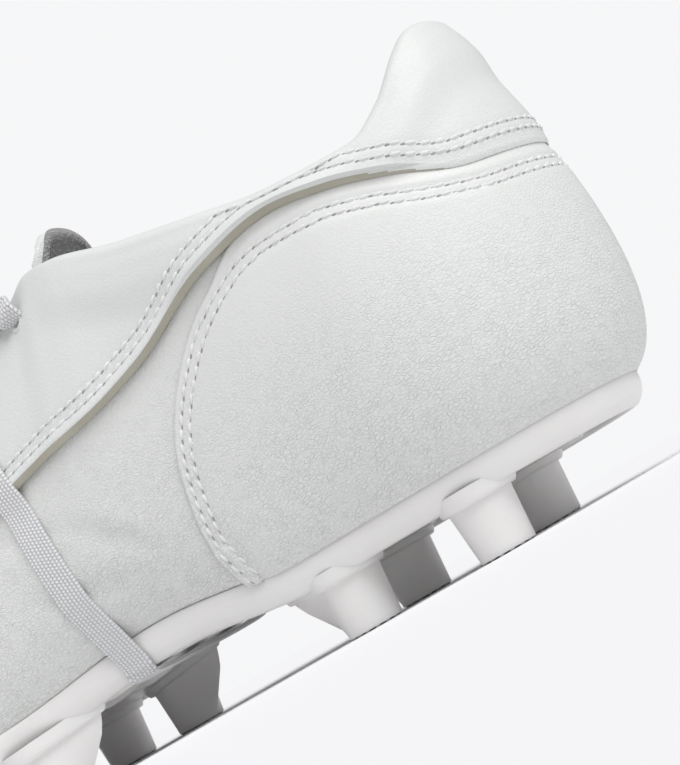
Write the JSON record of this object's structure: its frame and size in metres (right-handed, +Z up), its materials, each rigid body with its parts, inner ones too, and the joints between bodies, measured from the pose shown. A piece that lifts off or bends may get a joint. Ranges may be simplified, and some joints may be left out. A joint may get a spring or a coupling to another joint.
{
  "type": "soccer cleat",
  "caption": "Low-cut white soccer cleat for the right foot, with a leather upper, laces that also pass under the waist, and a moulded sole with conical studs.",
  "frame": {"origin": "middle of the overall box on the plane of the stud tips", "axes": "+X towards the toe, +Y towards the inner side of this right shoe, +Z up"},
  "size_m": [0.2828, 0.089, 0.1183],
  "materials": {
    "sole_plastic": "white moulded sole plastic with a soft sheen",
    "rivet_metal": "dull grey-brown rivet",
    "footbed": "light grey textile over foam",
    "upper_leather": "off-white grained leather",
    "band_leather": "smooth off-white leather with a raw beige edge",
    "tongue_leather": "soft off-white padded leather",
    "lace_weave": "flat woven white lace"
  },
  "bodies": {
    "root": {"outsole": "sole_plastic", "heel_rivet": "rivet_metal", "insole": "footbed", "upper": "upper_leather", "heel_counter": "upper_leather", "collar_band": "band_leather", "tongue": "tongue_leather", "lace_bar": "lace_weave", "lace_crossing_1": "lace_weave", "lace_crossing_2": "lace_weave", "lace_crossing_3": "lace_weave", "lace_crossing_4": "lace_weave", "arch_lace": "lace_weave"}
  },
  "joints": []
}
